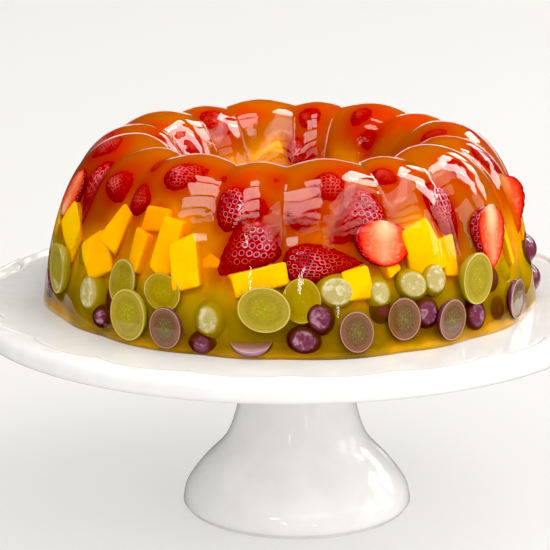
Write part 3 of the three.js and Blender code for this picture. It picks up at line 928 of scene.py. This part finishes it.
# the same, by the wall of the hole
INNER_DICE = in_metres([
    (-167, 58, 6, 24, 16, 18, 12), (-152, 50, 6, -15, 15, 22, 12), (175, 46, 5, 30, 16, 18, 12),
    (150, 52, 6, 0, 14, 18, 12),
], 1, 2, 4, 5, 6)
mango = Batch("mango_dice")
for index, (*where, width, height, depth) in enumerate(INNER_DICE):
    place = settle(*where, inner=True, front=depth / 2)
    mango.add(dice_shape(width, height, depth, seed=100 + index), place, DICE_PROUD)
for index, (*where, width, height, depth) in enumerate(MANGO_DICE):
    lean = [Matrix.Rotation(scatter.uniform(-DICE_LEAN, DICE_LEAN), 4, axis) for axis in "XY"]
    place = settle(*where, front=depth / 2) @ lean[0] @ lean[1]
    mango.add(dice_shape(width, height, depth, seed=index), place, DICE_PROUD)
mango.build(mango_flesh, "mango")

# ---- Grapes ------------------------------------------------------------------------------
# Seedless grapes, green ones above and red ones by the plate, some whole and most cut across
# or along. A cut face shows the thin skin as a rim, a dull ring and a clearer heart.
GREEN_GRAPE = (0.0215, 0.025)
RED_GRAPE = (0.017, 0.02)
GRAPE_HALF_SHARE = 0.42
GRAPE_PROUD = 0.0002


def grape_shape(width, length, half, around=32):
    """A grape with its long axis along Y. A half is cut at z = 0, with its cut face up."""
    if half:
        turns = [math.pi / 2 * k / 8 for k in range(1, 9)]
        rings = [(math.sin(a), -math.cos(a) * GRAPE_HALF_SHARE * 2, 1.0, 0.0) for a in turns]
        rings += [(0.985, 0.016, 1.0, 1.0), (0.945, 0.02, 0.945, 1.0), (0.88, 0.0, 0.88, 1.0),
                  (0.8, -0.012, 0.8, 1.0), (0.6, 0.004, 0.6, 1.0), (0.4, 0.012, 0.4, 1.0),
                  (0.2, 0.01, 0.2, 1.0)]
        poles = [(0.0, -GRAPE_HALF_SHARE * 2, 1.0, 0.0), (0.0, 0.008, 0.0, 1.0)]
    else:
        rings = [(math.sin(math.pi * k / 16), -math.cos(math.pi * k / 16), 1.0, 0.0) for k in range(1, 16)]
        poles = [(0.0, -1.0, 1.0, 0.0), (0.0, 1.0, 1.0, 0.0)]
    points, rim, cut = [], [], []
    for share, rise, edge, face in rings + poles:
        for j in range(around if share else 1):
            u = 2 * math.pi * j / around
            x, y = share * math.cos(u), share * math.sin(u)
            points.append(Vector((x * width, y * length, rise * width)) / 2)
            rim.append(edge)
            cut.append(face)
    faces = ring_faces(len(rings), around, (len(points) - 2, len(points) - 1))
    local = [(p.x / width * 2, p.y / length * 2, p.z / width * 2) for p in points]
    return points, faces, local, {"rim": rim, "cut": cut}


def grape_finish(name, flush, painted_glint, bare, skin, heart, flesh, ring, rim_line, dull, glow, share):
    """Skin that is palest where it lay against the tin, with painted highlights in patches
    there, and a cut face of rings with fine spokes and flecks; a piece given a share of
    highlight gets a painted highlight over its cut face and bare skin."""
    finish = Finish(name)
    place = finish.attribute("local", "Vector")
    spoke = finish.vector("NORMALIZE", finish.vector("MULTIPLY", place, (1, 1, 0)))
    rim = finish.attribute("rim")
    pale = finish.attribute("pale")
    wavy = finish.math("ADD", rim, finish.uneven(0.25, 3.0, 3.0, 0.6, where=place))
    rings = [(0.05, *heart), (0.42, *flesh), (0.62, *dull), (0.76, *ring), (0.9, *ring)]
    grain = finish.span(finish.noise(9.0, 4.0, 0.7, where=place), 0.4, 0.65, 0.0, 0.5)
    spokes = finish.span(finish.noise(22.0, 2.0, 0.6, where=spoke), 0.45, 0.65)
    spokes = finish.times(spokes, finish.span(rim, 0.35, 0.8, 0.0, 0.3))
    flecks = finish.span(finish.noise(16.0, 3.0, 0.7, where=place), 0.53, 0.62)
    flecks = finish.times(flecks, finish.span(rim, 0.85, 0.15, 0.05, 0.5))
    # a piece's share of highlight lays a painted highlight, the glint colour, over its cut face and bare skin
    face = finish.layers(
        finish.ramp(wavy, rings), (grain, flesh), (spokes, dull), (flecks, rim_line),
        (finish.span(rim, 0.92, 0.96), rim_line), (finish.span(rim, 0.975, 1.0), skin), (pale, painted_glint))
    # painted highlights: glints in patches over the skin pressed flush to the wall
    painted_glints = finish.span(finish.noise(230.0, 3.0, 0.6, distortion=1.0), 0.5, 0.66, 0.0, 0.65)
    pressed = finish.mix(painted_glints, flush, painted_glint)
    shown = finish.mix(finish.attribute("pressed"), finish.mix(pale, bare, painted_glint), pressed)
    shell = finish.mix(finish.span(finish.attribute("sunk"), 0.0, 0.0016), shown, skin)
    colour = in_jelly(finish, finish.mix(finish.attribute("cut"), shell, face), glow, share, 0.0045)
    fruit_surface(finish, colour, finish.noise(520.0, 2.0), 0.0002, 0.4)
    return finish


green_flesh = grape_finish(
    "green grape", flush=(0.48, 0.39, 0.14), painted_glint=(0.8, 0.72, 0.46), bare=(0.38, 0.31, 0.035),
    skin=(0.42, 0.32, 0.005), heart=(0.33, 0.3, 0.01), flesh=(0.37, 0.285, 0.02),
    ring=(0.44, 0.32, 0.042), rim_line=(0.68, 0.54, 0.18), dull=(0.31, 0.24, 0.028),
    glow=(0.42, 0.32, 0.004), share=0.7)
red_flesh = grape_finish(
    "red grape", flush=(0.17, 0.042, 0.075), painted_glint=(0.58, 0.33, 0.42), bare=(0.17, 0.035, 0.07),
    skin=(0.06, 0.005, 0.014), heart=(0.14, 0.12, 0.025), flesh=(0.15, 0.095, 0.035),
    ring=(0.25, 0.105, 0.062), rim_line=(0.55, 0.35, 0.26), dull=(0.15, 0.074, 0.042),
    glow=(0.16, 0.06, 0.006), share=0.6)

# bearing, up, deep, spin, size as a share, whole or half
GREEN_GRAPES = in_metres([
    (-53, 18.5, -1.8, 0, 0.95, "whole"), (-42, 28, 0.4, 0, 0.88, "half"), (-30, 27, 1, 60, 0.8, "half"),
    (-19, 16.5, -1.6, 10, 0.8, "whole"), (2, 27, 1.6, 0, 0.85, "half"),
    (10, 31, -2.2, 80, 0.78, "whole"), (20, 29, -1.4, 20, 0.66, "whole"),
    (28.5, 31, -2, 60, 0.7, "whole"), (34.5, 32, -2, 0, 0.68, "whole"),
    (-79, 30, -0.4, 0, 0.9, "whole"), (60, 26, 3, 30, 0.7, "whole"), (-60, 34, 4, 30, 0.7, "whole"),
], 1, 2)
RED_GRAPES = in_metres([
    (-76, 12, -0.4, 0, 0.95, "whole"), (-48, 8.5, -0.4, 90, 0.8, "whole"),
    (-45.5, 18.5, 0.6, 0, 0.8, "whole"), (-20, 4.5, -0.8, 90, 0.84, "whole"),
    (-16, 16, 6, 0, 0.85, "whole"), (2.5, 8.5, -1.4, 80, 0.85, "whole"),
    (6, 19, -1.4, 10, 0.85, "whole"), (14, 12, -0.2, 10, 0.98, "half"),
    (20.5, 21, 0.6, 0, 0.75, "whole"), (25.5, 15.5, -0.2, 0, 1, "half"),
    (31.5, 17, -1.4, 0, 0.8, "whole"), (46, 10.5, -1.4, 0, 0.86, "whole"),
    (53, 25, 0.6, 0, 0.66, "whole"), (54, 10, 1, 0, 0.74, "whole"), (70, 9.5, 0.5, 80, 0.85, "whole"),
    (-60, 10, 5, 0, 0.85, "whole"), (-86, 11, 0, 0, 0.95, "whole"),
], 1, 2)
green_whole, green_half = grape_shape(*GREEN_GRAPE, False), grape_shape(*GREEN_GRAPE, True)
red_whole, red_half = grape_shape(*RED_GRAPE, False), grape_shape(*RED_GRAPE, True)


def back_row(low, high, step, halves):
    """Grapes for the back of the ring, one after another by a seeded rule."""
    spots = []
    bearing = 92.0
    while bearing < 272:
        kind = "half" if scatter.random() < halves else "whole"
        spots.append((bearing + scatter.uniform(-2, 2), scatter.uniform(low, high),
                      scatter.uniform(-0.0008, 0.002) if kind == "whole" else 0.0004, scatter.uniform(0, 180),
                      scatter.uniform(0.78, 0.98), kind))
        bearing += step
    return spots


for name, spots, shapes, finish, slot, width in (
        ("green_grapes", GREEN_GRAPES + back_row(0.02, 0.032, 11, 0.5), (green_whole, green_half),
         green_flesh, "green_grape", GREEN_GRAPE[0]),
        ("red_grapes", RED_GRAPES + back_row(0.009, 0.012, 9.5, 0.4), (red_whole, red_half),
         red_flesh, "red_grape", RED_GRAPE[0])):
    grapes = Batch(name)
    for bearing, up, deep, spin, size, kind in spots:
        whole = kind == "whole"
        place = settle(bearing, up, deep, spin, size, front=width / 2 if whole else 0.0)
        grapes.add(shapes[0] if whole else shapes[1], place, GRAPE_PROUD)
    grapes.build(finish, slot)

# the half that lies with its cut face up, with a painted highlight over its face and skin
LYING_HALF = "red_grape_half_front"
LYING_HIGHLIGHT = 0.6
# name, bearing, up, deep, face, tilt, spin: the ones that stand out of the wall
SHOWING_GRAPES = in_metres([
    ("red_grape_right_upper", 81, 27, 6, 81, 0, 75),
    ("red_grape_right_lower", 86, 9, 6.5, 86, 0, 90),
    ("red_grape_back", 176, 11, 7, 176, 0, 85),
    ("red_grape_half_edge", 61, 11.5, -1.2, 61, 0, 0),
    ("red_grape_half_right", 37, 12, -1.2, 40, 0, 0),
    ("red_grape_half_front", -9, 8, 5.5, -9, 62, 90),
    ("red_grape_half_left", -28, 11, -1.2, -28, 0, 0),
    ("red_grape_half_back", -150, 12, -1.2, -150, 0, 30),
    ("green_grape_half_front", -6, 23, -1.2, -6, 3, 80),
    ("green_grape_half_left", -38, 14, -1.2, -38, 2, 0),
    ("green_grape_half_far_left", -68, 23, -1.2, -68, 3, 0),
    ("green_grape_half_right", 46, 28, -1.2, 46, 3, 0),
    ("green_grape_half_back", 128, 22, -1.2, 128, 3, 20),
], 2, 3)
for name, *where in SHOWING_GRAPES:
    green = name.startswith("green")
    shape = (green_half if green else red_half) if "half" in name else red_whole
    piece = Batch("cut_" + name)
    piece.add(shape, showing_place(*where), proud=0, pale=LYING_HIGHLIGHT if name == LYING_HALF else 0.0)
    piece.build(green_flesh if green else red_flesh, "green_grape" if green else "red_grape", name)

# ---- Cloudy middle of the jelly ----------------------------------------------------------
# Gelatine with mango juice in it is cloudy, so a little way inside the wall the eye meets a
# soft glow that takes on the colour of the fruit next to it.
CORE_LEVELS = (0.0, 0.06, 0.3, 0.5, 0.9)
CORE_INSETS = (0.0003, 0.0036, 0.0048, 0.007, 0.0045)
CORE_LIFT = 0.00005
GLOW_REACH = 0.0038


def core_ring(curve, t, columns):
    """A ring like the jelly's, at its own depth inside the wall."""
    inset = np.interp(on_curve(curve, t)[0][1] / JELLY_HEIGHT, CORE_LEVELS, CORE_INSETS)
    if curve is INNER_CURVE:
        inset = min(inset, CORE_INSETS[-1])
    ring = resting(wall_point(curve, t, 360 * j / columns, inset) for j in range(columns))
    return [(x, y, z + CORE_LIFT) for x, y, z in ring]


core = skin("cloudy_middle", [core_ring(curve, t, 320) for curve, t in wall_places(44, 30)], closed_ring=True)
cloud = Finish("cloudy amber")
glowing = cloud_colour(cloud)
for prefix, key, colour, share in (
        ("green_grapes", "by_green", (0.4, 0.33, 0.003), 0.7),
        ("red_grapes", "by_red", (0.17, 0.07, 0.006), 0.55),
        ("mango", "by_mango", (0.85, 0.38, 0.002), 0.65),
        ("strawberries", "by_berry", (0.38, 0.012, 0.003), 0.7)):
    near = [v.co for made in bpy.data.objects if made.name.startswith(prefix) for v in made.data.vertices]
    near = tree_of(near)
    gaps = [near.find(v.co)[2] for v in core.data.vertices]
    store(core, key, [math.exp(-(gap / GLOW_REACH) ** 1.5) for gap in gaps])
    glowing = cloud.mix(cloud.times(cloud.attribute(key), share), glowing, colour)
cloud.surface(Base_Color=glowing, Roughness=0.9, Specular_IOR_Level=0.0)
core.data.materials.append(cloud.material)
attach(core, "root")

# ---- Table, light and camera -------------------------------------------------------------
# A plain white sweep that glows a little, in a dim room with a low bright wall far behind.
# Soft fills light it evenly, and the jelly mirrors a skylight with dark bars over the front
# and tall windows at the right and behind.
FLOOR_SIZE = 30.0
CORNERS = ((-1, -1), (1, -1), (1, 1), (-1, 1))
floor = mesh_object("floor", [(x * FLOOR_SIZE, y * FLOOR_SIZE, 0) for x, y in CORNERS], [(0, 1, 2, 3)])
paper = Finish("white paper")
paper.surface(Base_Color=(0.4, 0.395, 0.385, 1.0), Roughness=0.7, Specular_IOR_Level=0.2,
              Emission_Color=(1.0, 0.985, 0.965, 1.0), Emission_Strength=0.42)
paper.material.cycles.emission_sampling = "NONE"
floor.data.materials.append(paper.material)
floor.visible_glossy = False
floor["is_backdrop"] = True

scene = bpy.context.scene
ROOM_GLOW = 0.08
ROOM_FILL = 0.3
BACKDROP_GLOW = 1.7
BLACK_POINT = 0.016
world = bpy.data.worlds.new("room")
world.use_nodes = True
room = Nodes(world.node_tree)
way = room.node("ShaderNodeSeparateXYZ", {0: room.node("ShaderNodeTexCoord").outputs["Generated"]}).outputs
glow = BACKDROP_GLOW
# the bright wall: how far back, from where at the left, and the band that it fills up and down
for axis, dim, bright in (("Y", 0.9, 0.96), ("X", -0.26, -0.12), ("Z", 0.15, 0.1), ("Z", -0.1, -0.04)):
    within = room.span(way[axis], dim, bright, interpolation_type="SMOOTHSTEP")
    glow = room.times(within, glow)
is_fill = room.node("ShaderNodeLightPath").outputs["Is Diffuse Ray"]
strength = room.math("ADD", glow, room.span(is_fill, 0.0, 1.0, ROOM_GLOW, ROOM_FILL))
background = world.node_tree.nodes["Background"]
background.inputs["Color"].default_value = (1.0, 0.99, 0.975, 1.0)
world.node_tree.links.new(strength, background.inputs["Strength"])
scene.world = world
scene.view_settings.view_transform = "Standard"
scene.view_settings.use_curve_mapping = True
scene.view_settings.curve_mapping.black_level = (BLACK_POINT,) * 3
MIDDLE = Vector((0.0, 0.0, 0.15))
LAMP_DISTANCE = 4.0
LAMP_COLOUR = (1.0, 0.98, 0.95)


def window(name, toward, width, height, brightness):
    """A soft rectangular light seen from the jelly in a direction given as x, y, z, with its
    width and height in degrees and its brightness as a share of white paper's."""
    lamp = bpy.data.lights.new(name, "AREA")
    lamp.shape = "RECTANGLE"
    lamp.size = 2 * LAMP_DISTANCE * math.tan(math.radians(width / 2))
    lamp.size_y = 2 * LAMP_DISTANCE * math.tan(math.radians(height / 2))
    lamp.energy = brightness * math.pi * lamp.size * lamp.size_y
    lamp.color = LAMP_COLOUR
    made = bpy.data.objects.new(name, lamp)
    toward = Vector(toward).normalized()
    made.location = MIDDLE + toward * LAMP_DISTANCE
    across = Vector((1, 0, 0)) if abs(toward.x) < 0.4 else toward.cross((0, 0, 1))
    upright = toward.cross(across).normalized()
    across = upright.cross(toward).normalized()
    made.rotation_euler = Matrix((across, upright, toward)).transposed().to_euler()
    scene.collection.objects.link(made)
    return made


def pane(name, left, right, low, high, brightness):
    """A window pane by its edges in degrees: left to right of the middle, and leaning from the
    front, at -90, over the top to the back, at 90. Only the wet jelly and the glaze mirror it."""
    across, lean = math.radians((left + right) / 2), math.radians((low + high) / 2)
    toward = (math.sin(across), math.cos(across) * math.sin(lean), math.cos(across) * math.cos(lean))
    made = window(name, toward, right - left, (high - low) * math.cos(across), brightness)
    made.visible_diffuse = False


# a skylight over the front with dark bars across it, brightest at its slanting left end:
# left edge of that end, low, high, brightness
SKYLIGHT = [
    (-13, -2.2, 9.0, 8.0), (-23, -22.0, -4.4, 9.0), (-32, -36.3, -24.2, 8.0), (-36, -43.4, -38.5, 6.0),
    (-26, -49.4, -45.5, 3.0), (-16, -56.0, -51.5, 1.8),
]
SKYLIGHT_DIM = 2.7
for row, (left, low, high, brightness) in enumerate(SKYLIGHT):
    pane(f"skylight_end_{row}", left, -1, low, high, brightness)
    pane(f"skylight_{row}", 0, 57, low, high, min(brightness, SKYLIGHT_DIM))
# tall windows at the right and behind
for column, (left, right) in enumerate(((19, 28), (30, 41), (43, 56))):
    pane(f"window_{column}", left, right, 14, 46, 12.0)
    pane(f"window_low_{column}", left, right, 57, 71, 6.0)
for small_light in (
        ("spot", -25, -17, -61.5, -56.5, 11.0), ("lamp_left", -13, -11.5, -79, -71, 16.0),
        ("lamp_right", 16, 18, -87, -84, 16.0), ("window_right", 61, 76, -42, 10, 3.0),
        ("window_right_low", 61, 76, 14, 74, 2.2)):
    pane(*small_light)
# soft fills, which nothing mirrors
for fill in (
        ("sky_fill", (0.0, -0.1, 1.0), 100, 100, 0.72), ("key", (0.6, 0.1, 0.75), 50, 50, 1.2),
        ("front_fill", (0.1, -0.9, 0.45), 85, 60, 0.86), ("left_fill", (-0.9, -0.15, 0.45), 85, 60, 0.34),
        ("right_fill", (0.9, -0.15, 0.45), 85, 60, 1.05), ("back_fill", (0.0, 0.9, 0.45), 85, 60, 0.34)):
    window(*fill).visible_glossy = False

camera = bpy.data.objects.new("camera", bpy.data.cameras.new("camera"))
FOCAL_PIXELS = 2440
FRAME_PIXELS = 550
camera.data.sensor_width = 36
camera.data.lens = FOCAL_PIXELS / FRAME_PIXELS * camera.data.sensor_width
camera.data.clip_end = 50
camera.location = (-0.00683, -1.2, 0.43526)
CAMERA_DIP = 14.67
camera.rotation_euler = (math.radians(90 - CAMERA_DIP), 0, 0)
scene.collection.objects.link(camera)
scene.camera = camera

low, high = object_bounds()
